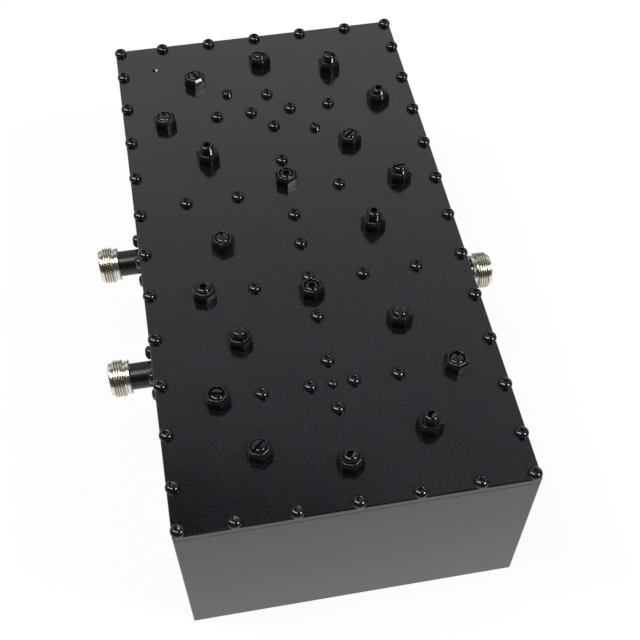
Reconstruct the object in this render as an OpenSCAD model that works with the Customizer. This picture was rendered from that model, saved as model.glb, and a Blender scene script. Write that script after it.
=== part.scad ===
// Ten-cavity coaxial resonator filter: a milled housing under a flush lid,
// twenty locked tuning screws and three threaded coaxial sockets.
// Millimetres. X runs across the box, Y along it to the back, Z up from its underside.

/* [Housing] */
// Width of one cavity, across the box
cavity_w = 61.7; // [56:0.1:70]
// Length of one cavity, along the box
cavity_l = 48.8; // [44:0.1:58]
// Height of the housing without its lid
housing_h = 77.5; // [72:0.5:95]
// Thickness of the long side walls
side_wall_t = 5.8; // [5.2:0.1:8]
// Thickness of the two end walls
end_wall_t = 5.25; // [4.8:0.05:8]
// Thickness of the walls between cavities
divider_t = 5; // [4.4:0.1:7]
// Thickness of the floor
floor_t = 6; // [5:0.5:10]
// Radius left in the cavity corners by the milling cutter
cavity_r = 5; // [3:0.5:8]
// Rounding of the housing's outer edges
edge_r = 0.8; // [0.4:0.1:1.5]
// Depth of the coupling windows below the top of the walls
window_depth = 32; // [30:1:45]
// Width of the windows in the cross walls
window_w = 20; // [14:1:22]
// Length of the four windows in the centre wall, back to front
centre_window_l = [26, 19, 8, 20];
// Half width of the open wall crossing, measured from the centre line
crossing_open = 8; // [6:0.5:10]

/* [Lid] */
// Thickness of the lid
lid_t = 3; // [2.5:0.1:5]
// Diameter of the small vent hole
vent_d = 1.7; // [1:0.1:3]
// Distance of the vent hole from the left edge
vent_from_left = 17.7; // [12:0.1:22]
// Distance of the vent hole from the back edge
vent_from_back = 17.7; // [12:0.1:22]

/* [Lid screws] */
// Thread diameter of the lid screws
screw_d = 3; // [2.5:0.1:3.2]
// Length of a lid screw under its head
screw_len = 8; // [6:0.5:8]
// Head diameter of a lid screw
head_d = 5.8; // [5:0.1:6.5]
// Head height of a lid screw
head_h = 2.5; // [1.8:0.1:3]
// Straight part of the head below its dome
head_rim_h = 0.8; // [0.4:0.1:1.2]
// Diameter of the clearance holes in the lid
screw_hole_d = 3.4; // [3.3:0.1:4]
// Length of one arm pair of the cross recess
recess_l = 2.7; // [2:0.1:3.2]
// Width of a recess arm
recess_w = 0.7; // [0.5:0.05:1]
// Depth of the cross recess
recess_depth = 1.2; // [0.8:0.1:1.6]
// Inset of the rim screws from the lid's edge
rim_inset = 2.5; // [2.3:0.1:2.8]
// Pitch of the rim screws
rim_pitch = 23.3; // [18:0.1:30]
// Least distance from a corner screw to the next one
rim_corner_gap = 12; // [9:0.5:18]
// Thread diameter of the small screw in the front wall crossing
small_screw_d = 2.5; // [2:0.1:3]
// Head diameter of the small screw
small_head_d = 4.4; // [4:0.1:5]

/* [Tuning screws] */
// Thread diameter of the tuning screws
tuner_d = 6.35; // [5:0.05:6.6]
// Length of a tuning screw
tuner_len = 30; // [26:1:34]
// Height of the cone at a tuning screw's driven end
tuner_end_h = 1.2; // [0.6:0.1:1.4]
// Diameter of the flat face on that end
tuner_face_d = 3.8; // [3.6:0.1:5]
// Lock nut, across flats
nut_af = 9.2; // [8.6:0.1:11]
// Height of the lock nut
nut_h = 5.1; // [4:0.1:8]
// Height of the chamfer on the nut's upper corners
nut_chamfer = 0.8; // [0.4:0.1:1.4]
// Inset of the round top face from the nut's flats
nut_face_inset = 0.2; // [0.1:0.05:0.5]
// Width of the driver slot
slot_w = 1.2; // [0.8:0.1:1.6]
// Depth of the driver slot
slot_depth = 1.6; // [1.5:0.1:2.5]
// Hex socket of the other tuning screws, across flats
socket_af = 3; // [2.5:0.1:3.5]
// Depth of the hex socket
socket_depth = 2.4; // [1.5:0.1:3.5]
// How far the tuners stand in front of the cavity centres
tuner_shift = 0.4; // [0:0.05:2]
// How much shorter the pitch of the tuners is than that of the cavities
tuner_creep = 0.33; // [0:0.01:1.2]
// Distance of the rearmost coupling tuner behind the back row
rear_coupling_gap = 9.4; // [7:0.1:12]
// Distance of the foremost coupling tuner in front of the front row
front_coupling_gap = 10.5; // [8:0.1:13]
// Distance of the tuner in the open crossing behind its cross wall
crossing_tuner_gap = 6.2; // [4:0.1:7]
// Distance of the tuner in the narrow window in front of its cross wall
narrow_tuner_gap = 6.5; // [6.5:0.1:9]
// Pitch of the tuning screws' thread
tuner_thread = 0.907; // [0.5:0.001:1.1]
// Diameter of the two small trimmer screws
trimmer_d = 5; // [4:0.1:5.5]
// Length of a trimmer screw
trimmer_len = 12; // [10:0.5:13]
// Height of a trimmer above the lid
trimmer_proud = 2.2; // [1.4:0.1:3]
// Width of a trimmer's slot
trimmer_slot_w = 1; // [0.6:0.1:1.2]

/* [Resonators] */
// Height of a resonator
resonator_h = 60; // [54:0.5:66]
// Diameter of the post
post_d = 16; // [14:0.5:20]
// Diameter of the head
cap_d = 26; // [22:0.5:30]
// Thickness of the head
cap_t = 3; // [2:0.5:5]
// Height of the flare under the head
flare_h = 3; // [1:0.5:5]
// Diameter of the bore that takes the tuning screw
bore_d = 10; // [9:0.5:12]
// Thickness left under the bore
web_t = 8; // [6:0.5:10]
// Thread diameter of the resonator screw
post_screw_d = 4; // [3:0.5:5]
// Length of the resonator screw under its head
post_screw_len = 12; // [11.5:0.5:12.5]
// Head diameter of the resonator screw
post_head_d = 7; // [6:0.5:8.5]
// Head height of the resonator screw
post_head_h = 4; // [3:0.5:5]
// Hex socket of the resonator screw, across flats
post_socket_af = 3; // [2.5:0.1:3.5]

/* [Coaxial sockets] */
// Distance of the flanges below the top of the housing
flange_drop = 5.55; // [5.45:0.05:11]
// Place of the rear left, front left and right sockets along the box
socket_y = [12.5, -50.5, -20];
// Length of each barrel, from the wall to the bright ring
barrel_len = [10.2, 10.2, 4.3];
// Diameter of the barrel
barrel_d = 11.2; // [10.8:0.1:11.8]
// Diameter of the bright ring
ring_d = 14.6; // [13:0.1:15.4]
// Thickness of the bright ring
ring_t = 2.2; // [1.5:0.1:3]
// Diameter at the bottom of the groove behind the thread
groove_d = 13; // [12:0.1:14]
// Width of the groove
groove_w = 0.4; // [0.3:0.1:1]
// Thread diameter over the crests
thread_d = 15.875; // [15:0.005:16.5]
// Length of the thread
thread_len = 4.8; // [4:0.1:8]
// Diameter of the smooth lip
lip_d = 13; // [11.5:0.1:14]
// Length of the smooth lip
lip_len = 1.4; // [1:0.1:2.5]
// Diameter of the plug bore
mouth_d = 8.6; // [8.2:0.1:9]
// Depth of the plug bore
mouth_depth = 9.1; // [8.5:0.1:9.5]
// Chamfer at the mouth
mouth_chamfer = 0.8; // [0.4:0.1:1.2]
// Distance from the flange screws to the flange's edge
flange_edge = 2.4; // [2.2:0.05:2.8]
// Corner radius of the flange
flange_r = 1; // [0.5:0.1:2]
// Depth of the wall pocket that takes the flange
pocket_depth = 3; // [2.5:0.1:3.2]
// Height of the flange above the wall
flange_proud = 0.5; // [0:0.1:1.5]
// Spacing of the flange screws
flange_pitch = 12.7; // [12.5:0.1:13]
// Length of a flange screw under its head
flange_screw_len = 6; // [5:0.5:6]
// Diameter of the insulator
insulator_d = 7; // [6.6:0.1:7.4]
// Diameter of the centre contact
contact_d = 3.04; // [2.9:0.01:3.4]
// Depth of the contact's tip behind the mouth
contact_recess = 4.4; // [4.3:0.1:5]
// Diameter of the pin hole in the contact
contact_hole_d = 1.7; // [1.6:0.05:1.9]
// Depth of the pin hole in the contact
contact_hole_depth = 4.5; // [3:0.1:5]
// Length of the contact inside the cavity
contact_tail = 3.5; // [3:0.5:6]
// Depth of the solder cup in the contact's tail
cup_depth = 3; // [2:0.5:5]
// Diameter of the coupling wires
wire_d = 1.6; // [1.2:0.1:1.8]
// Straight run of a wire before its bend, inside the wall
wire_run = 10; // [8:0.5:14]
// Height at which a wire enters its resonator, above the floor
tap_h = 24; // [12:1:36]
// Depth to which a wire enters the post
tap_depth = 1.8; // [1:0.1:2.4]

/* [Cross-coupling probe] */
// Diameter of the probe rod
probe_d = 2.5; // [2:0.1:3]
// Distance of the rod's axis below the top of the housing
probe_drop = 12; // [11:0.5:16]
// Reach of the probe across the box, from the wall crossing
probe_dx = 19; // [16:0.1:22]
// Reach of the probe along the box, from the wall crossing
probe_dy = 15.2; // [13:0.1:18]
// Length of rod beyond the trimmer's axis
probe_over = 1.5; // [1:0.1:3]
// Diameter of the insulating bush
bush_d = 6; // [5:0.1:7]
// Length of the insulating bush
bush_l = 13; // [12:0.5:18]

/* [Clearances] */
// Radial clearance of a screw in its tapped hole
thread_gap = 0.05; // [0.02:0.01:0.1]
// Radial clearance of pieces pushed into a hole
fit_gap = 0.03; // [0.02:0.01:0.1]
// Clearance round the flange in its pocket
pocket_gap = 0.1; // [0.05:0.05:0.2]
// Depth of a blind tapped hole below the screw's tip
tap_extra = 0.3; // [0.2:0.1:0.5]

/* [Hidden] */
rows = 5;
sockets = ["rear_left", "front_left", "right"];
resonator_names = [for (i = [1:2 * rows]) str("resonator_", i)];
resonator_tuner_names = [for (i = [1:2 * rows]) str("resonator_tuner_", i)];
coupling_tuner_names = [for (i = [1:10]) str("coupling_tuner_", i)];
trimmer_names = ["rear_trimmer", "front_trimmer"];
$fn = 48;
cut = 1;

body_w = 2 * (cavity_w + side_wall_t) + divider_t;
body_l = rows * cavity_l + (rows - 1) * divider_t + 2 * end_wall_t;
top_z = housing_h + lid_t;
inner_x = body_w / 2 - side_wall_t;
column_x = (cavity_w + divider_t) / 2;
cavity_pitch = cavity_l + divider_t;
tuner_pitch = cavity_pitch - tuner_creep;
resonator_top = floor_t + resonator_h;
flange_w = flange_pitch + 2 * flange_edge;
axis_z = housing_h - flange_drop - flange_w / 2;
probe_z = housing_h - probe_drop;
probe_reach = norm([probe_dx, probe_dy]);
probe_turn = -atan2(probe_dy, probe_dx);
tap_bore_d = screw_d + 2 * thread_gap;

// Cavity rows are numbered 0 to 4 from the back, cross walls 0 to 3 between them.
function row_y(i) = ((rows - 1) / 2 - i) * cavity_pitch;
function wall_y(j) = (rows / 2 - 1 - j) * cavity_pitch;
function tuner_row_y(i) = ((rows - 1) / 2 - i) * tuner_pitch - tuner_shift;
function tuner_wall_y(j) = (rows / 2 - 1 - j) * tuner_pitch - tuner_shift;
function side_of(i) = i % 2 == 0 ? -1 : 1;

// Rim screws: the corners, then even steps outward from the middle of each edge.
rim_x = body_w / 2 - rim_inset;
rim_y = body_l / 2 - rim_inset;
rim_nx = floor((rim_x - rim_corner_gap) / rim_pitch);
rim_ny = floor((rim_y - rim_corner_gap) / rim_pitch);
rim_points = concat(
    [for (sx = [-1, 1], sy = [-1, 1]) [sx * rim_x, sy * rim_y]],
    [for (i = [-rim_nx:rim_nx], sy = [-1, 1]) [i * rim_pitch, sy * rim_y]],
    [for (i = [-rim_ny:rim_ny], sx = [-1, 1]) [sx * rim_x, i * rim_pitch]]);

// Screws into the centre wall: a cross wall and how far behind it, in cavity lengths.
centre_wall_screws = [
    [0, 0.236], [0, -0.223], [1, 0.402], [1, -0.311], [2, 0.439], [2, 0.041],
    [2, -0.398], [3, 0.23], [3, -0.248]];
// Screws beside a crossing: a cross wall and how far off the centre line, in cavity widths.
crossing_screws = [[0, -0.152], [0, 0.154], [3, -0.147], [3, 0.141]];
// Screws further out: cross wall, side and distance from the side wall, in cavity widths.
outer_wall_screws = [
    [0, -1, 0.621], [0, 1, 0.585], [1, -1, 0.287], [1, -1, 0.665], [1, 1, 0.665],
    [2, -1, 0.661], [2, 1, 0.663], [2, 1, 0.285], [3, -1, 0.579], [3, 1, 0.606]];
function out_x(side, share) = side * (inner_x - share * cavity_w);
wall_points = concat(
    [for (s = centre_wall_screws) [0, wall_y(s[0]) + s[1] * cavity_l]],
    [for (s = crossing_screws) [s[1] * cavity_w, wall_y(s[0])]],
    [for (s = outer_wall_screws) [out_x(s[1], s[2]), wall_y(s[0])]]);
small_point = [0, wall_y(3)];

// Resonator tuners from the back row, left before right. Each has its height above the
// nut in threads, the turn of its nut, and its slot's angle (none means a hex socket).
resonator_set = [
    [0.55, -97, -60], [4.19, -90, -31],
    [4.74, -82, undef], [0.55, -80, 42],
    [0.55, -103, 95], [4.85, -80, undef],
    [3.86, -82, 92], [1.65, -78, 70],
    [1.1, -83, 40], [4.63, -80, undef]];
function resonator_xy(i) = [side_of(i) * column_x, tuner_row_y(floor(i / 2))];

// Coupling tuners in the centre wall, back to front, with the same three settings.
centre_set = [[1.1, -82, -20], [0.22, -92, undef], [0, -80, undef], [2.2, -80, undef]];
centre_y = [
    tuner_row_y(0) + rear_coupling_gap,
    wall_y(1) + crossing_tuner_gap,
    wall_y(2) - narrow_tuner_gap,
    tuner_row_y(rows - 1) - front_coupling_gap];
centre_window_x = [divider_t / 2, crossing_open, divider_t / 2, divider_t / 2];

// Coupling tuners in the cross walls: wall, side, distance from the side wall in cavity
// widths, and the same three settings.
cross_set = [
    [0, -1, 0.222, 0.44, -83, 98], [0, 1, 0.189, 2.32, -80, undef],
    [1, 1, 0.212, 2.87, -80, 8], [2, -1, 0.314, 1.43, -84, undef],
    [3, -1, 0.295, 0, -80, -10], [3, 1, 0.22, 0, -98, 70]];

// Every tuner as place, height above the nut in threads, turn of the nut and slot angle.
resonator_tuners = [for (i = [0:2 * rows - 1]) concat([resonator_xy(i)], resonator_set[i])];
coupling_tuners = concat(
    [for (i = [0:3]) concat([[0, centre_y[i]]], centre_set[i])],
    [for (s = cross_set) [[out_x(s[1], s[2]), tuner_wall_y(s[0])], s[3], s[4], s[5]]]);
tuners = concat(resonator_tuners, coupling_tuners);
trimmer_points = [for (k = [1, -1]) [-k * probe_dx, wall_y(0) + k * probe_dy]];

// Each socket's side of the box and the resonator that its wire feeds.
socket_side = [-1, -1, 1];
socket_resonator = [4, 6, 5];
function head_z(c) = barrel_len[c];
function thread_z(c) = head_z(c) + ring_t + groove_w;
function mouth_z(c) = thread_z(c) + thread_len + lip_len;

module rounded_rect(w, l, r) {
    square([w - 2 * r, l], center = true);
    square([w, l - 2 * r], center = true);
    for (sx = [-1, 1], sy = [-1, 1])
        translate([sx * (w / 2 - r), sy * (l / 2 - r)]) circle(r);
}

// A block whose upright edges and bottom edges are rounded and whose top is sharp.
module rounded_block(w, l, h, r) {
    intersection() {
        linear_extrude(h) rounded_rect(w, l, r);
        translate([0, l / 2 + cut, h / 2]) rotate([90, 0, 0])
            linear_extrude(l + 2 * cut) union() {
                rounded_rect(w, h, r);
                translate([-w / 2, 0]) square([w, h / 2]);
            }
        translate([-w / 2 - cut, 0, h / 2]) rotate([90, 0, 90])
            linear_extrude(w + 2 * cut) union() {
                rounded_rect(l, h, r);
                translate([-l / 2, 0]) square([l, h / 2]);
            }
    }
}

module at_points(points, z) {
    for (p = points) translate([p[0], p[1], z]) children();
}

module rod(a, b, r) {
    d = b - a;
    translate(a)
        rotate([0, acos(d[2] / norm(d)), atan2(d[1], d[0])])
            cylinder(r = r, h = norm(d));
}

// Local Z points out of the side wall, from its outer face.
module on_wall(c) {
    translate([socket_side[c] * body_w / 2, socket_y[c], axis_z])
        rotate([0, socket_side[c] * 90, 0]) children();
}

module flange_corners() {
    for (sx = [-1, 1], sy = [-1, 1])
        translate([sx * flange_pitch / 2, sy * flange_pitch / 2]) children();
}

module cross_recess(l, w, depth) {
    for (a = [0, 90]) rotate(a)
        translate([-l / 2, -w / 2, -depth]) cube([l, w, depth + cut]);
}

// A domed screw, its bearing face at z = 0 and its shank below.
module pan_screw(d, len, hd, hh, rim, l, w, depth) {
    dome = hh - rim;
    dome_r = (hd * hd / 4 + dome * dome) / (2 * dome);
    difference() {
        union() {
            intersection() {
                cylinder(d = hd, h = hh);
                translate([0, 0, hh - dome_r]) sphere(dome_r);
            }
            translate([0, 0, -len]) cylinder(d = d, h = len + rim);
        }
        translate([0, 0, hh]) cross_recess(l, w, depth);
    }
}

module lid_screw() {
    pan_screw(screw_d, screw_len, head_d, head_h, head_rim_h, recess_l, recess_w, recess_depth);
}

module connector_seat(c) {
    on_wall(c) {
        translate([0, 0, -pocket_depth]) linear_extrude(pocket_depth + cut)
            rounded_rect(flange_w + 2 * pocket_gap, flange_w + 2 * pocket_gap, flange_r);
        translate([0, 0, -side_wall_t - cut])
            cylinder(d = insulator_d + 2 * fit_gap, h = side_wall_t + cut);
        flange_corners() translate([0, 0, -side_wall_t - cut])
            cylinder(d = tap_bore_d, h = side_wall_t + cut);
    }
}

module housing() {
    lid_tap = screw_len - lid_t + tap_extra;
    post_tap = post_screw_len - web_t + tap_extra;
    color([0.1, 0.1, 0.1]) difference() {
        rounded_block(body_w, body_l, housing_h, edge_r);
        for (i = [0:rows - 1], s = [-1, 1])
            translate([s * column_x, row_y(i), floor_t])
                linear_extrude(housing_h) rounded_rect(cavity_w, cavity_l, cavity_r);
        for (i = [0:3])
            translate([0, centre_y[i], housing_h - window_depth / 2 + cut / 2])
                cube([2 * centre_window_x[i] + cut, centre_window_l[i], window_depth + cut],
                     center = true);
        for (s = cross_set)
            translate([out_x(s[1], s[2]), wall_y(s[0]), housing_h - window_depth / 2 + cut / 2])
                cube([window_w, divider_t + 2 * cavity_r + cut, window_depth + cut], center = true);
        at_points(rim_points, housing_h - lid_tap)
            cylinder(d = tap_bore_d, h = lid_tap + cut);
        at_points(wall_points, housing_h - lid_tap)
            cylinder(d = tap_bore_d, h = lid_tap + cut);
        at_points([small_point], housing_h - lid_tap)
            cylinder(d = small_screw_d + 2 * thread_gap, h = lid_tap + cut);
        for (i = [0:2 * rows - 1])
            translate([resonator_xy(i)[0], resonator_xy(i)[1], floor_t - post_tap])
                cylinder(d = post_screw_d + 2 * thread_gap, h = post_tap + cut);
        for (c = [0:2]) connector_seat(c);
        probe_line() cylinder(d = bush_d + 2 * fit_gap, h = bush_l + 2 * cavity_r, center = true);
    }
}

module lid() {
    vent = [vent_from_left - body_w / 2, body_l / 2 - vent_from_back];
    color([0.12, 0.12, 0.12]) translate([0, 0, housing_h]) difference() {
        linear_extrude(lid_t) rounded_rect(body_w, body_l, edge_r);
        at_points(concat(rim_points, wall_points), -cut)
            cylinder(d = screw_hole_d, h = lid_t + 2 * cut);
        at_points([small_point], -cut)
            cylinder(d = small_screw_d + screw_hole_d - screw_d, h = lid_t + 2 * cut);
        for (t = tuners)
            translate([t[0][0], t[0][1], -cut])
                cylinder(d = tuner_d + 2 * thread_gap, h = lid_t + 2 * cut);
        at_points(trimmer_points, -cut)
            cylinder(d = trimmer_d + 2 * thread_gap, h = lid_t + 2 * cut);
        at_points([vent], -cut) cylinder(d = vent_d, h = lid_t + 2 * cut);
    }
}

module rim_screws() {
    color([0.05, 0.05, 0.05]) at_points(rim_points, top_z) lid_screw();
}

module wall_screws() {
    color([0.05, 0.05, 0.05]) at_points(wall_points, top_z) lid_screw();
}

module crossing_screw() {
    share = small_head_d / head_d;
    color([0.05, 0.05, 0.05]) at_points([small_point], top_z)
        pan_screw(small_screw_d, screw_len, small_head_d, head_h * share, head_rim_h * share,
                  recess_l * share, recess_w * share, recess_depth * share);
}

// A hex nut whose upper corners are turned to a cone that ends in a round face.
module lock_nut(turn) {
    corner_r = nut_af / 2 / cos(30);
    face_r = nut_af / 2 - nut_face_inset;
    clear_r = 2 * corner_r - face_r;
    difference() {
        intersection() {
            rotate(turn) cylinder(r = corner_r, h = nut_h, $fn = 6);
            union() {
                cylinder(r = clear_r, h = nut_h - 2 * nut_chamfer);
                translate([0, 0, nut_h - 2 * nut_chamfer])
                    cylinder(r1 = clear_r, r2 = face_r, h = 2 * nut_chamfer);
            }
        }
        translate([0, 0, -cut]) cylinder(d = tuner_d + 2 * thread_gap, h = nut_h + 2 * cut);
    }
}

module lock_nuts() {
    color([0.05, 0.05, 0.05]) for (t = tuners)
        translate([t[0][0], t[0][1], top_z]) lock_nut(t[2]);
}

// A plain stud at its thread's outer size, its tapered driven end upward at z = 0.
module stud(d, len, slot_width, slot) {
    share = d / tuner_d;
    depth = slot_depth * share;
    profile = [[0, -len], [d / 2, -len], [d / 2, -tuner_end_h * share],
        [tuner_face_d / 2 * share, 0], [0, 0]];
    difference() {
        rotate_extrude() polygon(profile);
        if (slot == undef)
            translate([0, 0, -socket_depth])
                cylinder(d = socket_af / cos(30), h = socket_depth + cut, $fn = 6);
        else
            rotate(slot) translate([-d, -slot_width / 2, -depth])
                cube([2 * d, slot_width, depth + cut]);
    }
}

module tuner(t) {
    color([0.05, 0.05, 0.05])
        translate([t[0][0], t[0][1], top_z + nut_h + t[1] * tuner_thread])
            stud(tuner_d, tuner_len, slot_w, t[3]);
}

module trimmer(i) {
    slots = [0, -45];
    color([0.05, 0.05, 0.05])
        translate([trimmer_points[i][0], trimmer_points[i][1], top_z + trimmer_proud])
            stud(trimmer_d, trimmer_len, trimmer_slot_w, slots[i]);
}

// Runs from the solder cup to a square-cut bend, then down to the post.
module wire_path(c, r) {
    s = socket_side[c];
    foot = resonator_xy(socket_resonator[c]);
    start = [s * (inner_x - contact_tail + cup_depth), socket_y[c], axis_z];
    bend = [s * (inner_x - wire_run), socket_y[c], axis_z];
    plan = [bend[0] - foot[0], bend[1] - foot[1]];
    tip = foot + plan / norm(plan) * (post_d / 2 - tap_depth);
    rod(start, bend - [s * r, 0, 0], r);
    rod(bend, [tip[0], tip[1], floor_t + tap_h], r);
}

module resonator(i) {
    xy = resonator_xy(i);
    color([0.8, 0.8, 0.78]) difference() {
        translate([xy[0], xy[1], floor_t]) difference() {
            union() {
                cylinder(d = post_d, h = resonator_h);
                translate([0, 0, resonator_h - cap_t]) cylinder(d = cap_d, h = cap_t);
                translate([0, 0, resonator_h - cap_t - flare_h])
                    cylinder(d1 = post_d, d2 = cap_d, h = flare_h);
            }
            translate([0, 0, web_t]) cylinder(d = bore_d, h = resonator_h);
            translate([0, 0, -cut])
                cylinder(d = post_screw_d + 2 * thread_gap, h = web_t + 2 * cut);
        }
        for (c = [0:2]) if (socket_resonator[c] == i) wire_path(c, wire_d / 2 + fit_gap);
    }
}

module resonator_screws() {
    color([0.5, 0.5, 0.5]) for (i = [0:2 * rows - 1])
        translate([resonator_xy(i)[0], resonator_xy(i)[1], floor_t + web_t]) difference() {
            union() {
                cylinder(d = post_head_d, h = post_head_h);
                translate([0, 0, -post_screw_len])
                    cylinder(d = post_screw_d, h = post_screw_len + post_head_h / 2);
            }
            translate([0, 0, post_head_h / 2])
                cylinder(d = post_socket_af / cos(30), h = post_head_h, $fn = 6);
        }
}

module connector(c) {
    back = pocket_depth;
    color([0.75, 0.74, 0.7]) on_wall(c) difference() {
        union() {
            translate([0, 0, -back]) linear_extrude(back + flange_proud)
                rounded_rect(flange_w, flange_w, flange_r);
            cylinder(d = barrel_d, h = head_z(c) + ring_t);
            translate([0, 0, head_z(c)]) cylinder(d = ring_d, h = ring_t);
            translate([0, 0, head_z(c)]) cylinder(d = groove_d, h = ring_t + groove_w + cut);
            translate([0, 0, thread_z(c)]) cylinder(d = thread_d, h = thread_len);
            translate([0, 0, thread_z(c)]) cylinder(d = lip_d, h = thread_len + lip_len);
        }
        translate([0, 0, -back - cut])
            cylinder(d = insulator_d + 2 * fit_gap, h = mouth_z(c) + back + 2 * cut);
        translate([0, 0, mouth_z(c) - mouth_depth])
            cylinder(d = mouth_d, h = mouth_depth + cut);
        translate([0, 0, mouth_z(c) - mouth_chamfer])
            cylinder(d1 = mouth_d, d2 = mouth_d + 4 * mouth_chamfer, h = 2 * mouth_chamfer);
        flange_corners() translate([0, 0, -back - cut])
            cylinder(d = screw_hole_d, h = back + flange_proud + 2 * cut);
    }
}

module insulator(c) {
    color([0.95, 0.95, 0.93]) on_wall(c) difference() {
        translate([0, 0, -side_wall_t])
            cylinder(d = insulator_d, h = side_wall_t + mouth_z(c) - mouth_depth);
        translate([0, 0, -side_wall_t - cut])
            cylinder(d = contact_d + 2 * fit_gap, h = side_wall_t + mouth_z(c) + cut);
    }
}

module contact(c) {
    tip = mouth_z(c) - contact_recess;
    tail = side_wall_t + contact_tail;
    color([0.85, 0.7, 0.35]) on_wall(c) difference() {
        translate([0, 0, -tail]) cylinder(d = contact_d, h = tail + tip);
        translate([0, 0, tip - contact_hole_depth])
            cylinder(d = contact_hole_d, h = contact_hole_depth + cut);
        translate([0, 0, -tail - cut])
            cylinder(d = wire_d + 2 * fit_gap, h = cup_depth + cut);
    }
}

module coupling_wire(c) {
    color([0.8, 0.5, 0.35]) wire_path(c, wire_d / 2);
}

module connector_screws() {
    color([0.05, 0.05, 0.05]) for (c = [0:2]) on_wall(c)
        flange_corners() translate([0, 0, flange_proud])
            pan_screw(screw_d, flange_screw_len, head_d, head_h, head_rim_h,
                      recess_l, recess_w, recess_depth);
}

// Local Z runs along the probe, through the wall crossing.
module probe_line() {
    translate([0, wall_y(0), probe_z]) rotate([0, 90, probe_turn]) children();
}

module probe_rod() {
    color([0.8, 0.5, 0.35]) probe_line()
        cylinder(d = probe_d, h = 2 * (probe_reach + probe_over), center = true);
}

module probe_bush() {
    color([0.95, 0.95, 0.93]) probe_line() difference() {
        cylinder(d = bush_d, h = bush_l, center = true);
        cylinder(d = probe_d + 2 * fit_gap, h = bush_l + 2 * cut, center = true);
    }
}

housing();
lid();
rim_screws();
wall_screws();
crossing_screw();
lock_nuts();
for (i = [0:2 * rows - 1])
    tuner(resonator_tuners[i]);
for (i = [0:9])
    tuner(coupling_tuners[i]);
for (i = [0:1])
    trimmer(i);
for (i = [0:2 * rows - 1])
    resonator(i);
resonator_screws();
for (c = [0:2])
    connector(c);
for (c = [0:2])
    insulator(c);
for (c = [0:2])
    contact(c);
for (c = [0:2])
    coupling_wire(c);
connector_screws();
probe_rod();
probe_bush();
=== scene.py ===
import math

import bmesh
import bpy
from mathutils import Matrix, Quaternion, Vector


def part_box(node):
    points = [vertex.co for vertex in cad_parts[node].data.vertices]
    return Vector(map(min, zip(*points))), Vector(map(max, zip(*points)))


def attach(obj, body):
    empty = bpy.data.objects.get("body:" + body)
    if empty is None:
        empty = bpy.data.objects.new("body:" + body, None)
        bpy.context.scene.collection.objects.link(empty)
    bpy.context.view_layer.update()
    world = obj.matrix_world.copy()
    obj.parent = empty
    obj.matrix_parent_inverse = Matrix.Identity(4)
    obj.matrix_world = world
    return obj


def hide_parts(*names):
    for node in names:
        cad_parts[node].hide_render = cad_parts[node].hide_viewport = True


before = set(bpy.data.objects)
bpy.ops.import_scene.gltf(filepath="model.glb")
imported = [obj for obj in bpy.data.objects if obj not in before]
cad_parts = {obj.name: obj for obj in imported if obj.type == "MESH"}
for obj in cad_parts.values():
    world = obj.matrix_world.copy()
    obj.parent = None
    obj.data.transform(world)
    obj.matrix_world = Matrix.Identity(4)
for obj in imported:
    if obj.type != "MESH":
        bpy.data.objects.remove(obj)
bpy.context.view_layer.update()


# Housing: one block of aluminium milled into ten cavities, open at the top. Its outside is
# powder coated in a fine-grained satin black that softens the edges and holds a little dust.
MM = 0.001
MERGE = 0.001  # points closer than this, in millimetres, are one


class Flow:
    """A value on its way through a material. Sums and products on it add their nodes."""

    def __init__(self, finish, socket):
        self.finish = finish
        self.socket = socket

    def work(self, operation, first, second=0.0):
        return self.finish.node("ShaderNodeMath", {"operation": operation}, {0: first, 1: second})

    def __add__(self, other):
        return self.work("ADD", self, other)

    def __radd__(self, other):
        return self.work("ADD", other, self)

    def __sub__(self, other):
        return self.work("SUBTRACT", self, other)

    def __rsub__(self, other):
        return self.work("SUBTRACT", other, self)

    def __mul__(self, other):
        return self.work("MULTIPLY", self, other)

    def __rmul__(self, other):
        return self.work("MULTIPLY", other, self)

    def __gt__(self, other):
        return self.work("GREATER_THAN", self, other)

    def __lt__(self, other):
        return self.work("LESS_THAN", self, other)

    def __abs__(self):
        return self.work("ABSOLUTE", self)


class Finish:
    """The look of one material or world, built node by node."""

    def __init__(self, owner, coordinates="Object"):
        self.owner = owner
        self.owner.use_nodes = True
        self.tree = self.owner.node_tree
        self.tree.nodes.clear()
        self.place = self.node("ShaderNodeTexCoord", out=coordinates)

    def node(self, kind, settings=None, sockets=None, out=0):
        """Adds a node: its settings first, then the values or links of its sockets."""
        made = self.tree.nodes.new(kind)
        for key, value in (settings or {}).items():
            setattr(made, key, value)
        for key, value in (sockets or {}).items():
            if isinstance(value, Flow):
                self.tree.links.new(value.socket, made.inputs[key])
            else:
                made.inputs[key].default_value = value
        return Flow(self, made.outputs[out]) if made.outputs else None

    def vector(self, operation, first, second=(0, 0, 0), out="Vector"):
        return self.node("ShaderNodeVectorMath", {"operation": operation},
                         {0: first, 1: second}, out)

    def noise(self, grain_mm, detail=2.0, place=None):
        """Soft random values from 0 to 1, in grains of about that size."""
        return self.node("ShaderNodeTexNoise", None, {"Vector": place or self.place,
                                                      "Scale": 1 / (grain_mm * MM),
                                                      "Detail": detail})

    def blend(self, factor, first, second):
        """A mix of two colours, which its node takes at sockets 6 and 7 and gives at 2."""
        ends = [(*c, 1.0) if isinstance(c, tuple) else c for c in (first, second)]
        return self.node("ShaderNodeMix", {"data_type": "RGBA"},
                         {0: factor, 6: ends[0], 7: ends[1]}, out=2)

    def bump(self, height, depth_mm):
        return self.node("ShaderNodeBump", None, {"Height": height, "Distance": depth_mm * MM})

    def surface(self, **sockets):
        named = {key.replace("_", " "): value for key, value in sockets.items()}
        shader = self.node("ShaderNodeBsdfPrincipled", None, named)
        self.node("ShaderNodeOutputMaterial", None, {"Surface": shader})
        return self.owner


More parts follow.
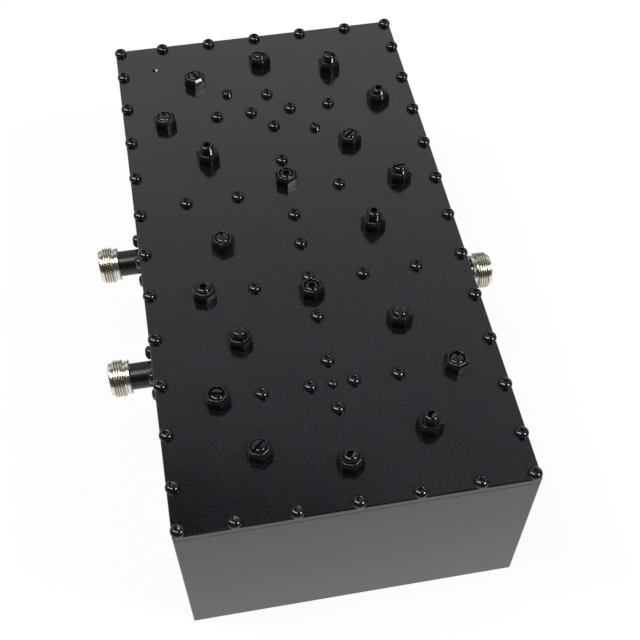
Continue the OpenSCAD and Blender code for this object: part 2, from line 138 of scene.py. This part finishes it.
def powder_coat(name, fleck, chip_at=None):
    """Satin black powder coat: fine grain, faint clouds of colour and a few specks of dust.
    A chip in it shows the metal."""
    green_black, violet_black = (0.0068, 0.0102, 0.0060), (0.0090, 0.0068, 0.0135)
    black, dust, metal = (0.0004, 0.0004, 0.0004), (0.35, 0.35, 0.36), (0.75, 0.74, 0.70)
    grain_mm, cloud_mm, hue_mm, cell_mm = 0.8, 28, 9, 3.4
    speck_radius, dusty_cells, dust_cover = 0.045, 0.2, 0.35
    coat = Finish(bpy.data.materials.new(name))
    grain = coat.noise(grain_mm, detail=3.0)
    clouds = coat.noise(cloud_mm, detail=3.0)
    cells = {"Vector": coat.place, "Scale": 1 / (cell_mm * MM)}
    speck = coat.node("ShaderNodeTexVoronoi", None, cells, out="Distance") < speck_radius
    drawn = coat.node("ShaderNodeTexVoronoi", None, cells, out="Color")
    dusty = coat.node("ShaderNodeSeparateColor", None, {"Color": drawn}) > 1 - dusty_cells
    tint = coat.blend(coat.noise(hue_mm) * 3.0 - 1.0, green_black, violet_black)
    shade = coat.blend((grain - 0.5) * fleck + clouds * 0.5 + 0.25, black, tint)
    shade = coat.blend(speck * dusty * dust_cover, shade, dust)
    roughness = grain * 0.05 + clouds * 0.04 + 0.11
    chip = 0.0
    if chip_at is not None:
        chip_radius = 0.75 * MM
        chip = coat.vector("DISTANCE", coat.place, chip_at, out="Value") < chip_radius
        shade = coat.blend(chip, shade, metal)
        roughness = roughness - chip * 0.12
    return coat.surface(Base_Color=shade, Roughness=roughness, Metallic=chip, IOR=1.56,
                        Normal=coat.bump(grain, 0.02))


def mesh_of(name, bm):
    """The mesh that a bmesh becomes. The bmesh is used up."""
    mesh = bpy.data.meshes.new(name)
    bm.to_mesh(mesh)
    bm.free()
    return mesh


def mount(name, bm, finish, body, replaced, place=None, smooth=35):
    """Turns millimetres into the finished piece, sets it in place and ties it to its body.
    Edges of more than the smooth angle stay crisp."""
    bm.transform(Matrix.Diagonal((MM, MM, MM, 1)) @ (place or Matrix()))
    mesh = mesh_of(name, bm)
    mesh.polygons.foreach_set("use_smooth", [smooth > 0] * len(mesh.polygons))
    mesh.set_sharp_from_angle(angle=math.radians(smooth))
    mesh.materials.append(finish)
    piece = bpy.data.objects.new(name, mesh)
    bpy.context.scene.collection.objects.link(piece)
    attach(piece, body)
    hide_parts(replaced)


def plate_from(node):
    """The merged copy of a flat-sided CAD node, in millimetres."""
    flat = math.radians(2)
    bm = bmesh.new()
    bm.from_mesh(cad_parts[node].data)
    bm.transform(Matrix.Diagonal((1 / MM, 1 / MM, 1 / MM, 1)))
    bmesh.ops.remove_doubles(bm, verts=bm.verts, dist=MERGE)
    bmesh.ops.dissolve_limit(bm, angle_limit=flat, verts=bm.verts, edges=bm.edges)
    bmesh.ops.recalc_face_normals(bm, faces=bm.faces)
    return bm


def round_rim(plate, node, width, segments):
    """Rounds the outer top edge of a plate, and leaves its holes alone."""
    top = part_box(node)[1] / MM
    level, border, sharp = 0.01, 0.7, math.radians(60)

    def on_rim(point):
        outer = abs(point.x) > top.x - border or abs(point.y) > top.y - border
        return outer and point.z > top.z - level

    rim = [e for e in plate.edges if e.is_manifold and e.calc_face_angle() > sharp
           and all(on_rim(v.co) for v in e.verts)]
    bmesh.ops.bevel(plate, geom=rim, affect="EDGES", offset=width, segments=segments, profile=0.5,
                    material=-1, clamp_overlap=False)


housing = plate_from("housing")
round_rim(housing, "housing", width=0.3, segments=1)
mount("coated_housing", housing, powder_coat("housing_powder_coat", fleck=3.6), "chassis",
      "housing", smooth=0)


# Resonators: ten hollow aluminium posts with wide heads, silver plated, each held to the
# floor by a socket-head screw at the bottom of its bore.
def dress(material, *names):
    """Gives its finish to CAD nodes whose shape is shown as it is."""
    for name in names:
        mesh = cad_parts[name].data
        mesh.materials.clear()
        mesh.materials.append(material)


def plating(name, deep, bright, roughness):
    """A plated metal that has clouded unevenly in handling."""
    cloud_mm, fine_mm = 4.0, 0.3
    metal = Finish(bpy.data.materials.new(name))
    cloud = metal.noise(cloud_mm, detail=4.0)
    fine = metal.noise(fine_mm)
    return metal.surface(Base_Color=metal.blend(cloud, deep, bright),
                         Roughness=cloud * 0.12 + fine * 0.06 + roughness,
                         Metallic=1.0, Normal=metal.bump(fine, 0.004))


SILVER = plating("resonator_silver", (0.72, 0.71, 0.68), (0.90, 0.89, 0.86), roughness=0.22)
dress(SILVER, *[f"resonator_{number}" for number in range(1, 11)])
STEEL = plating("screw_steel", (0.35, 0.35, 0.36), (0.55, 0.55, 0.56), roughness=0.30)
dress(STEEL, "resonator_screws")


# Probe: a copper rod in a white insulating bush, through the crossing of the rear walls,
# with one end under each of the two small trimmers.
COPPER = plating("bare_copper", (0.62, 0.30, 0.18), (0.85, 0.48, 0.32), roughness=0.24)
dress(COPPER, "probe_rod")

moulded = Finish(bpy.data.materials.new("white_insulator"))
milky = moulded.blend(moulded.noise(2.5), (0.78, 0.78, 0.75), (0.88, 0.88, 0.86))
INSULATOR = moulded.surface(Base_Color=milky, Roughness=moulded.noise(0.8) * 0.2 + 0.45,
                            Normal=moulded.bump(moulded.noise(0.4), 0.01))
dress(INSULATOR, "probe_bush")


# Coaxial sockets: each body is turned from brass and nickel plated, with a square flange in
# the wall, a barrel, a bright ring, a groove, a coupling thread and a smooth lip. Flange and
# barrel were sprayed black with the box. Behind the mouth sit an insulator and a gold contact.
RING_T, GROOVE_W, THREAD_L, LIP_L = 1.8, 0.8, 4.4, 1.8
FLANGE_PROUD, PAINT_LAP = 0.5, 0.05
WALL = (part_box("housing")[1].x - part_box("housing")[0].x) / 2 / MM


def lathe(outline, steps):
    """A solid of revolution about Z from its half outline, which may close on itself."""
    bm = bmesh.new()
    verts = [bm.verts.new((r, 0, z)) for r, z in outline]
    edges = [bm.edges.new(pair) for pair in zip(verts, verts[1:])]
    if outline[0][0] > 0:
        edges.append(bm.edges.new((verts[-1], verts[0])))
    bmesh.ops.spin(bm, geom=verts + edges, cent=(0, 0, 0), axis=(0, 0, 1), dvec=(0, 0, 0),
                   angle=math.tau, steps=steps, use_merge=True, use_duplicate=False)
    bmesh.ops.remove_doubles(bm, verts=bm.verts, dist=MERGE / 2)
    bmesh.ops.recalc_face_normals(bm, faces=bm.faces)
    return bm


def threaded_rod(root, crest, pitch, low, high, steps):
    """A solid threaded rod: one thread profile swept round a full turn and cut square."""
    thread = ((0.0, root), (0.12, root), (0.44, crest), (0.68, crest))
    rows = math.ceil((high - low) / pitch) + 3
    profile = [(r, low + (row - 2 + share) * pitch) for row in range(rows) for share, r in thread]
    bm = bmesh.new()
    verts = [bm.verts.new((r, 0, z)) for r, z in profile]
    edges = [bm.edges.new(pair) for pair in zip(verts, verts[1:])]
    bmesh.ops.spin(bm, geom=verts + edges, cent=(0, 0, 0), axis=(0, 0, 1),
                   dvec=(0, 0, pitch / steps), angle=math.tau, steps=steps,
                   use_merge=False, use_duplicate=False)
    bmesh.ops.remove_doubles(bm, verts=bm.verts, dist=2 * MERGE)
    for height, facing in ((low, -1), (high, 1)):
        geom = [*bm.verts, *bm.edges, *bm.faces]
        bmesh.ops.bisect_plane(bm, geom=geom, dist=1e-5, plane_co=(0, 0, height),
                               plane_no=(0, 0, facing), clear_outer=True)
        rim = [e for e in bm.edges if e.is_boundary
               and all(abs(v.co.z - height) < MERGE for v in e.verts)]
        bmesh.ops.holes_fill(bm, edges=rim, sides=0)
    bmesh.ops.recalc_face_normals(bm, faces=bm.faces)
    return bm


def carve(body, tool, operation):
    """What is left of body after a boolean with tool. Both are used up."""
    pair = [bpy.data.objects.new("blank", mesh_of("blank", bm)) for bm in (body, tool)]
    for blank in pair:
        bpy.context.scene.collection.objects.link(blank)
    cutter = pair[0].modifiers.new("cut", "BOOLEAN")
    cutter.operation = operation
    cutter.solver = "EXACT"
    cutter.object = pair[1]
    graph = bpy.context.evaluated_depsgraph_get()
    result = bpy.data.meshes.new_from_object(pair[0].evaluated_get(graph))
    for blank in pair:
        bpy.data.objects.remove(blank)
    bm = bmesh.new()
    bm.from_mesh(result)
    bpy.data.meshes.remove(result)
    bmesh.ops.remove_doubles(bm, verts=bm.verts, dist=MERGE / 2)
    bmesh.ops.dissolve_degenerate(bm, edges=bm.edges, dist=MERGE / 2)
    return bm


def block(size, centre):
    """A box of that size about a centre."""
    bm = bmesh.new()
    bmesh.ops.create_cube(bm, size=1)
    bmesh.ops.scale(bm, verts=bm.verts, vec=size)
    bmesh.ops.translate(bm, verts=bm.verts, vec=centre)
    return bm


def socket_finish(name, paint_edge, thread, axis):
    """Nickel with fine turning marks, a darker brown painted shade in the thread's roots, and the
    matt black overspray that ends at the paint edge. Distances run out from the middle of the box."""
    overspray, root_shade = (0.003, 0.003, 0.004), (0.34, 0.27, 0.17)
    clouded, bright = (0.60, 0.56, 0.49), (0.90, 0.88, 0.84)
    root_radius, ragged, round_the_axis = 7.6 * MM, 0.25 * MM, (1, 0.02, 0.02)
    skin = Finish(bpy.data.materials.new(name))
    centred = skin.vector("SUBTRACT", skin.place, axis)
    radius = skin.vector("LENGTH", skin.vector("MULTIPLY", centred, (0, 1, 1)), out="Value")
    reach = abs(skin.node("ShaderNodeSeparateXYZ", None, {"Vector": skin.place}, out="X"))
    marks = skin.noise(0.14, place=skin.vector("MULTIPLY", centred, round_the_axis))
    bare = reach + skin.noise(1.2) * ragged > paint_edge
    root = (radius < root_radius) * (reach > thread[0]) * (reach < thread[1])
    stain = skin.noise(2.2, detail=4.0)
    # Painted shade: the thread's roots are blended toward a dark brown where their hollows lie in
    # shade.
    nickel = skin.blend(root * 0.8, skin.blend(stain, clouded, bright), root_shade)
    relief = marks * bare * 0.8 + skin.noise(0.5) * (1 - bare)
    return skin.surface(Base_Color=skin.blend(bare, overspray, nickel), Metallic=bare,
                        Roughness=stain * 0.08 + 0.30 - bare * 0.12,
                        Normal=skin.bump(relief, 0.016))


def socket_body(reach):
    """One socket body along +Z from the wall's face, its mouth at the given reach."""
    barrel, ring, groove, lip = 5.6, 7.3, 6.5, 7.1
    root, crest, pitch = 7.4, 7.93, 1.058
    bore, mouth, mouth_depth, flare = 3.53, 4.3, 9.1, 0.8
    pocket, ease, steps = 3.0, 0.25, 64
    lip_z = reach - LIP_L
    thread_z = lip_z - THREAD_L
    groove_z = thread_z - GROOVE_W
    ring_z = groove_z - RING_T
    outside = [
        (0, -pocket), (barrel, -pocket), (barrel, ring_z), (ring - ease, ring_z),
        (ring, ring_z + ease), (ring, groove_z - ease), (ring - ease, groove_z),
        (groove, groove_z), (groove, lip_z + 0.1), (lip, lip_z + 0.1), (lip, reach - 3 * ease),
        (lip - 0.5 * ease, reach - 1.4 * ease), (lip - 1.5 * ease, reach - 0.4 * ease),
        (lip - 3 * ease, reach), (0, reach)]
    thread = threaded_rod(root, crest, pitch, thread_z, lip_z, steps)
    body = carve(lathe(outside, steps), thread, "UNION")
    flange_w, flange_t = 17.5, 3.5
    flange = block((flange_w, flange_w, flange_t), (0, 0, FLANGE_PROUD - flange_t / 2))
    corners = [e for e in flange.edges if abs(e.verts[0].co.z - e.verts[1].co.z) > flange_t / 2]
    bmesh.ops.bevel(flange, geom=corners, affect="EDGES", offset=1.0, segments=6, profile=0.5,
                    material=-1)
    body = carve(body, flange, "UNION")
    inside = [
        (0, -pocket - 1), (bore, -pocket - 1), (bore, reach - mouth_depth),
        (mouth, reach - mouth_depth), (mouth, reach - flare), (mouth + 2 * flare, reach + flare),
        (0, reach + flare)]
    return carve(body, lathe(inside, steps), "DIFFERENCE")


GOLD = plating("contact_gold", (0.70, 0.45, 0.15), (0.95, 0.72, 0.32), roughness=0.20)
for side in ("rear_left", "front_left", "right"):
    low, high = (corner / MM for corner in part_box(f"{side}_connector"))
    facing = 1 if high.x > 0 else -1
    mouth_x = max(abs(low.x), abs(high.x))
    thread_x = mouth_x - LIP_L - THREAD_L
    painted_to = thread_x - GROOVE_W - RING_T + PAINT_LAP
    seat = Matrix.Translation((facing * WALL, (low.y + high.y) / 2, (low.z + high.z) / 2))
    seat = seat @ Matrix.Rotation(facing * math.pi / 2, 4, "Y")
    skin = socket_finish(f"{side}_nickel", painted_to * MM, (thread_x * MM, (mouth_x - LIP_L) * MM),
                         seat.translation * MM)
    mount(f"{side}_socket_body", socket_body(mouth_x - WALL), skin, "chassis",
          f"{side}_connector", seat)
    dress(INSULATOR, f"{side}_insulator")
    dress(GOLD, f"{side}_contact")
    dress(COPPER, f"{side}_coupling_wire")


# Lid: a plate the size of the box, coated with it, its edge rounded by the paint. The small
# vent hole near the back left corner has lost a crescent of paint to the bare metal.
vent = Vector((-52.3, 119.55, 80.5))
chip_middle = vent + Vector((1.0, 0.1, 0))
lid = plate_from("lid")
round_rim(lid, "lid", width=0.55, segments=4)
mount("coated_lid", lid, powder_coat("lid_powder_coat", fleck=1.8, chip_at=chip_middle * MM),
      "chassis", "lid", smooth=0)


# Screws: domed cross-recess heads, sprayed over with the box, so their edges are rounded and
# their recesses half full of gloss black paint. 36 hold the rim, 23 the walls, one small one
# the front crossing, and four each socket.
def enamel(name, roughness, ripple_mm):
    """Gloss black paint, thick enough to pool and to flow over edges."""
    thin, thick = (0.003, 0.003, 0.005), (0.009, 0.009, 0.010)
    paint = Finish(bpy.data.materials.new(name))
    flow = paint.noise(1.6)
    return paint.surface(Base_Color=paint.blend(paint.noise(6), thin, thick),
                         Roughness=flow * 0.06 + roughness, Normal=paint.bump(flow, ripple_mm))


def soften(bm, width, angle, segments):
    """Rounds every edge sharper than the angle, as thick paint leaves it."""
    sharp = [e for e in bm.edges if e.is_manifold and e.calc_face_angle() > math.radians(angle)]
    bmesh.ops.bevel(bm, geom=sharp, affect="EDGES", offset=width, segments=segments,
                    profile=0.5, material=-1, clamp_overlap=True)
    return bm


def domed_screw(shank, length, head, height):
    """A domed screw about Z with its bearing face at zero and a cross recess in its crown."""
    rim = 0.24 * height
    arc = [(head / 2 * math.cos(math.radians(a)),
            rim + (height - rim) * math.sin(math.radians(a))) for a in range(0, 64, 7)]
    pool = [(0.195 * head, height * 0.89), (0.155 * head, height * 0.70), (0, height * 0.66)]
    outline = [(0, -length), (shank / 2, -length), (shank / 2, 0), (head / 2, 0), *arc, *pool]
    screw = lathe(outline, 32)
    arm_length, arm_width, arm_taper = 0.42 * head, 0.10 * head, (0.8, 0.6, 1)
    for turn in (0, 90):
        arm = block((arm_length, arm_width, height), (0, 0, height * 1.02))
        low = [v for v in arm.verts if v.co.z < height]
        bmesh.ops.scale(arm, verts=low, vec=arm_taper)
        bmesh.ops.rotate(arm, verts=arm.verts, matrix=Matrix.Rotation(math.radians(turn), 3, "Z"))
        screw = carve(screw, arm, "DIFFERENCE")
    return soften(screw, 0.014 * head, angle=38, segments=2)


def separate_solids(node):
    """The loose solids of a CAD node, each as a list of its corners in millimetres."""
    bm = bmesh.new()
    bm.from_mesh(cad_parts[node].data)
    bmesh.ops.remove_doubles(bm, verts=bm.verts, dist=MERGE * MM)
    left = set(bm.verts)
    solids = []
    while left:
        grown = [left.pop()]
        for vert in grown:
            for edge in vert.link_edges:
                other = edge.other_vert(vert)
                if other in left:
                    left.remove(other)
                    grown.append(other)
        solids.append([v.co / MM for v in grown])
    bm.free()
    return solids


def extent(points):
    """The middle of some points, and the lowest and highest corner of their box."""
    low = Vector([min(p[i] for p in points) for i in range(3)])
    high = Vector([max(p[i] for p in points) for i in range(3)])
    return (low + high) / 2, low, high


def repeated(pattern, places):
    """One bmesh that holds a copy of the pattern at each place."""
    mesh = mesh_of("pattern", pattern)
    bm = bmesh.new()
    for place in places:
        one = mesh.copy()
        one.transform(place)
        bm.from_mesh(one)
        bpy.data.meshes.remove(one)
    bpy.data.meshes.remove(mesh)
    return bm


def upright_places(node, length):
    """Where each screw of that length in a node bears, each driven to another angle."""
    solids = sorted(separate_solids(node), key=lambda solid: tuple(extent(solid)[0]))
    places = []
    for number, solid in enumerate(solids):
        centre, low, _ = extent(solid)
        bearing = Vector((centre.x, centre.y, low.z + length))
        turn = math.radians(37 * number % 90)
        places.append(Matrix.Translation(bearing) @ Matrix.Rotation(turn, 4, "Z"))
    return places


ENAMEL = enamel("hardware_enamel", roughness=0.06, ripple_mm=0.01)
LID_SCREW_L, FLANGE_SCREW_L = 8, 6
for node in ("rim_screws", "wall_screws"):
    heads = repeated(domed_screw(shank=3, length=LID_SCREW_L, head=5.8, height=2.5),
                     upright_places(node, LID_SCREW_L))
    mount(f"painted_{node}", heads, ENAMEL, "chassis", node)
small = repeated(domed_screw(shank=2.5, length=LID_SCREW_L, head=4.4, height=1.9),
                 upright_places("crossing_screw", LID_SCREW_L))
mount("painted_crossing_screw", small, ENAMEL, "chassis", "crossing_screw")

flange_places = []
for solid in separate_solids("connector_screws"):
    centre = extent(solid)[0]
    facing = 1 if centre.x > 0 else -1
    seat = Matrix.Translation((facing * (WALL + FLANGE_PROUD), centre.y, centre.z))
    flange_places.append(seat @ Matrix.Rotation(facing * math.pi / 2, 4, "Y"))
heads = repeated(domed_screw(shank=3, length=FLANGE_SCREW_L, head=5.8, height=2.5), flange_places)
mount("painted_connector_screws", heads, ENAMEL, "chassis",
      "connector_screws")


# Lock nuts: twenty hex nuts, one on each tuning screw. The same gloss paint lies thick on
# them: it rounds their edges and has drawn each top into six slopes down to the flats.
def hexagon(across, low, high, taper=1.0):
    """A hexagonal bar about Z, one corner toward +X. A taper narrows its top."""
    corner = across / 2 / math.cos(math.radians(30))
    bar = bmesh.new()
    bmesh.ops.create_cone(bar, cap_ends=True, segments=6, radius1=corner, radius2=corner * taper,
                          depth=high - low)
    bmesh.ops.rotate(bar, verts=bar.verts, matrix=Matrix.Rotation(math.radians(30), 3, "Z"))
    bmesh.ops.translate(bar, verts=bar.verts, vec=(0, 0, (low + high) / 2))
    return bar


def lock_nut(across, height):
    """A hex nut about Z on its bearing face. Its slopes are a hexagonal spire of 48 degrees,
    and its corners are turned off under them."""
    spire_across, spire_height, spire_taper = across * 3, 11.9, 0.257
    corner, shoulder, crown = 1.22 * across / 2, 0.86 * across / 2, 0.83 * across / 2
    bore = 3.225
    spire = hexagon(spire_across, height - spire_height, height, spire_taper)
    nut = carve(hexagon(across, 0, height), spire, "INTERSECT")
    turned = lathe([(0, -1), (corner, -1), (corner, height - 2.0), (shoulder, height - 0.12),
                    (crown, height), (0, height)], 72)
    nut = carve(nut, turned, "INTERSECT")
    nut = carve(nut, lathe([(0, -1), (bore, -1), (bore, height + 1), (0, height + 1)], 48),
                "DIFFERENCE")
    return soften(nut, 0.32, angle=24, segments=5)


nut_places = []
for solid in separate_solids("lock_nuts"):
    centre, low, high = extent(solid)
    corner = max(solid, key=lambda p: (p.xy - centre.xy).length)
    turn = math.atan2(corner.y - centre.y, corner.x - centre.x)
    place = Matrix.Translation((centre.x, centre.y, low.z)) @ Matrix.Rotation(turn, 4, "Z")
    nut_places.append(place)
nuts = repeated(lock_nut(across=9.6, height=high.z - low.z), nut_places)
mount("painted_lock_nuts", nuts, enamel("nut_enamel", roughness=0.11, ripple_mm=0.04), "chassis",
      "lock_nuts", smooth=6)


# Tuning screws: threaded studs, twelve with a driver slot and eight with a hex socket, and
# two small slotted trimmers without nuts. Each moves along its own axis as it is turned.
def stud(radius, length, pitch, slot_width, slot_depth):
    """A threaded stud about Z, its driven end up at zero. No slot width means a hex socket."""
    thread_depth, socket_across, socket_depth = 0.32 * pitch, 3.0, 2.4
    dome = [(0.985, -0.42), (0.93, -0.27), (0.85, -0.155), (0.74, -0.07), (0.60, -0.015)]
    body = threaded_rod(radius - thread_depth, radius + 0.02, pitch, -length, 0, 32)
    blank = [(0, -length), (0.75 * radius, -length), (0.99 * radius, 0.25 * radius - length),
             (0.99 * radius, -0.5 * radius), *[(r * radius, z * radius) for r, z in dome],
             (0, -0.002)]
    body = carve(body, lathe(blank, 32), "INTERSECT")
    if slot_width:
        tool = block((3 * radius, slot_width, 2 * slot_depth), (0, 0, 0))
    else:
        tool = hexagon(socket_across, -socket_depth, 1.0)
    driven = carve(body, tool, "DIFFERENCE")
    many_sided = [f for f in driven.faces if len(f.verts) > 4]
    bmesh.ops.triangulate(driven, faces=many_sided, quad_method="BEAUTY", ngon_method="BEAUTY")
    return driven


def slot_turn(points, top, depth):
    """The angle of a slot's floor, or None where the stud has a socket instead."""
    level, end_width = 0.01, 1.8
    floor = [p for p in points if abs(p.z - (top - depth)) < level]
    if not floor:
        return None
    centre = extent(points)[0]
    far = max(floor, key=lambda p: (p.xy - centre.xy).length)
    end = [p.xy for p in floor if (p.xy - far.xy).length < end_width]
    mid = sum(end, Vector((0, 0))) / len(end)
    return math.atan2(mid.y - centre.y, mid.x - centre.x)


def fit_studs(names, slot_depth, slotted, socketed=None):
    """Sets a stud in the place of each named node, turned and topped as that is."""
    for name in names:
        corners = [v.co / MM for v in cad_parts[name].data.vertices]
        centre, _, high = extent(corners)
        turn = slot_turn(corners, high.z, slot_depth)
        bm = bmesh.new()
        bm.from_mesh(socketed if turn is None else slotted)
        place = Matrix.Translation((centre.x, centre.y, high.z))
        place = place @ Matrix.Rotation(turn or 0, 4, "Z")
        mount(f"{name}_stud", bm, ENAMEL, f"{name}_body", name, place)


TUNER = {"radius": 3.175, "length": 30, "pitch": 0.907, "slot_depth": 1.6}
SLOTTED = mesh_of("slotted_tuner", stud(slot_width=1.2, **TUNER))
SOCKETED = mesh_of("socketed_tuner", stud(slot_width=0, **TUNER))
TUNERS = [f"{kind}_tuner_{number}" for kind in ("resonator", "coupling")
          for number in range(1, 11)]
fit_studs(TUNERS, TUNER["slot_depth"], SLOTTED, SOCKETED)

TRIMMER = {"radius": 2.5, "length": 12, "pitch": 0.8, "slot_depth": 1.26}
SMALL_SLOTTED = mesh_of("slotted_trimmer", stud(slot_width=1.0, **TRIMMER))
fit_studs(["rear_trimmer", "front_trimmer"], TRIMMER["slot_depth"], SMALL_SLOTTED)


# Studio: a white floor under a white sky. The floor keeps a faint shadow, and reflections
# show it dimmer with distance. The gloss shows a dark room with a pale wall behind the box
# and two soft lamps: a long strip at the left and a cooler one at the front right.
def fade(finish, value, span, ends, curve="LINEAR"):
    """Goes from one end to the other while the value crosses the span."""
    reach = {"From Min": span[0], "From Max": span[1], "To Min": ends[0], "To Max": ends[1]}
    return finish.node("ShaderNodeMapRange", {"interpolation_type": curve},
                       {"Value": value, **reach})


studio = Finish(bpy.data.materials.new("studio_white"))
watched, mirrored, through = (studio.node("ShaderNodeLightPath", out=f"Is {ray} Ray")
                              for ray in ("Camera", "Glossy", "Transmission"))
away = studio.vector("LENGTH", studio.place, out="Value")
near = fade(studio, away, (0.30, 0.60), (1.0, 0.12), "SMOOTHSTEP")
shadow_share = 0.08
glowing = studio.node("ShaderNodeMath", {"operation": "ADD", "use_clamp": True},
                      {0: watched * (1 - shadow_share) + mirrored * near, 1: through})
white = studio.node("ShaderNodeEmission", None, {"Color": (1, 1, 1, 1), "Strength": 1.0})
matte = studio.node("ShaderNodeBsdfDiffuse", None, {"Color": (0.85, 0.85, 0.85, 1)})
ground = studio.node("ShaderNodeMixShader", None, {0: glowing, 1: matte, 2: white})
studio.node("ShaderNodeOutputMaterial", None, {"Surface": ground})
sheet = bmesh.new()
bmesh.ops.create_grid(sheet, x_segments=1, y_segments=1, size=3.0)
floor = bpy.data.objects.new("studio_floor", mesh_of("studio_floor", sheet))
floor.data.materials.append(studio.owner)
bpy.context.scene.collection.objects.link(floor)

sky = Finish(bpy.data.worlds.new("studio_sky"), "Generated")
bpy.context.scene.world = sky.owner
across, along, up = (sky.node("ShaderNodeSeparateXYZ", None, {"Vector": sky.place}, out=axis)
                     for axis in "XYZ")
pale_wall = fade(sky, up, (0.61, 0.88), (0.88, 0.33)) * fade(sky, up, (0.10, 0.60), (0.0, 1.0))
wall_slant, room_level = 0.204, 0.045
below_edge = fade(sky, up - across * wall_slant, (0.860, 0.880), (1.0, 0.0), "SMOOTHSTEP")
behind = fade(sky, along, (0.0, 0.35), (0.0, 1.0), "SMOOTHSTEP")
front_glow = fade(sky, up, (0.0, 0.45), (0.10, 0.0))
level = pale_wall * below_edge * behind + front_glow + room_level
blueness = fade(sky, up, (0.60, 0.82), (0.92, 1.07))
tone = sky.node("ShaderNodeCombineColor", None, {"Red": level * 0.965, "Green": level,
                                                 "Blue": level * blueness})
room = sky.node("ShaderNodeBackground", None, {"Color": tone})
plain = sky.node("ShaderNodeBackground", None, {"Color": (1, 1, 1, 1)})
looked_at = sky.node("ShaderNodeLightPath", out="Is Camera Ray")
shown = sky.node("ShaderNodeMixShader", None, {0: looked_at, 1: room, 2: plain})
sky.node("ShaderNodeOutputWorld", None, {"Surface": shown})


def lamp(name, first, last, width, watts, colour):
    """A soft strip lamp between two points, facing the middle of the lid."""
    lid_middle = Vector((0, 0, 0.08))
    first, last = Vector(first), Vector(last)
    light = bpy.data.lights.new(name, "AREA")
    light.shape = "RECTANGLE"
    light.size = (last - first).length
    light.size_y = width
    light.energy = watts
    light.color = colour
    holder = bpy.data.objects.new(name, light)
    length = (last - first).normalized()
    back = (first + last) / 2 - lid_middle
    back = (back - length * back.dot(length)).normalized()
    turn = Matrix((length, back.cross(length), back)).transposed()
    holder.matrix_world = Matrix.LocRotScale((first + last) / 2, turn, None)
    bpy.context.scene.collection.objects.link(holder)


lamp("left_lamp", (-0.10, -0.38, 1.28), (-1.25, 0.43, 1.28), width=0.27, watts=18,
     colour=(1.0, 0.98, 0.94))
lamp("right_lamp", (0.80, -0.80, 1.18), (1.17, -0.42, 1.18), width=0.34, watts=16,
     colour=(0.90, 0.95, 1.0))


# Camera: above the near end and a little left of the middle, as the photograph was taken.
# The picture is the upper part of a wider view, which the small shift stands for.
eye = Vector((-46.528, -309.039, 420.628)) * MM
aim = Vector((-6.737, -95.918, 80.5)) * MM
tilt = Quaternion((0, 0, 1), math.radians(0.2615))
picture_px, optical_px, focal_px = 640, Vector((322.69, 417.98)), 1035.126
camera_data = bpy.data.cameras.new("camera")
camera_data.sensor_width = 36
camera_data.lens = camera_data.sensor_width * focal_px / picture_px
camera_data.shift_x = (picture_px / 2 - optical_px.x) / picture_px
camera_data.shift_y = (optical_px.y - picture_px / 2) / picture_px
camera = bpy.data.objects.new("camera", camera_data)
camera.location = eye
camera.rotation_mode = "QUATERNION"
camera.rotation_quaternion = (aim - eye).to_track_quat("-Z", "Y") @ tilt
bpy.context.scene.collection.objects.link(camera)
bpy.context.scene.camera = camera
bpy.context.scene.view_settings.view_transform = "Standard"
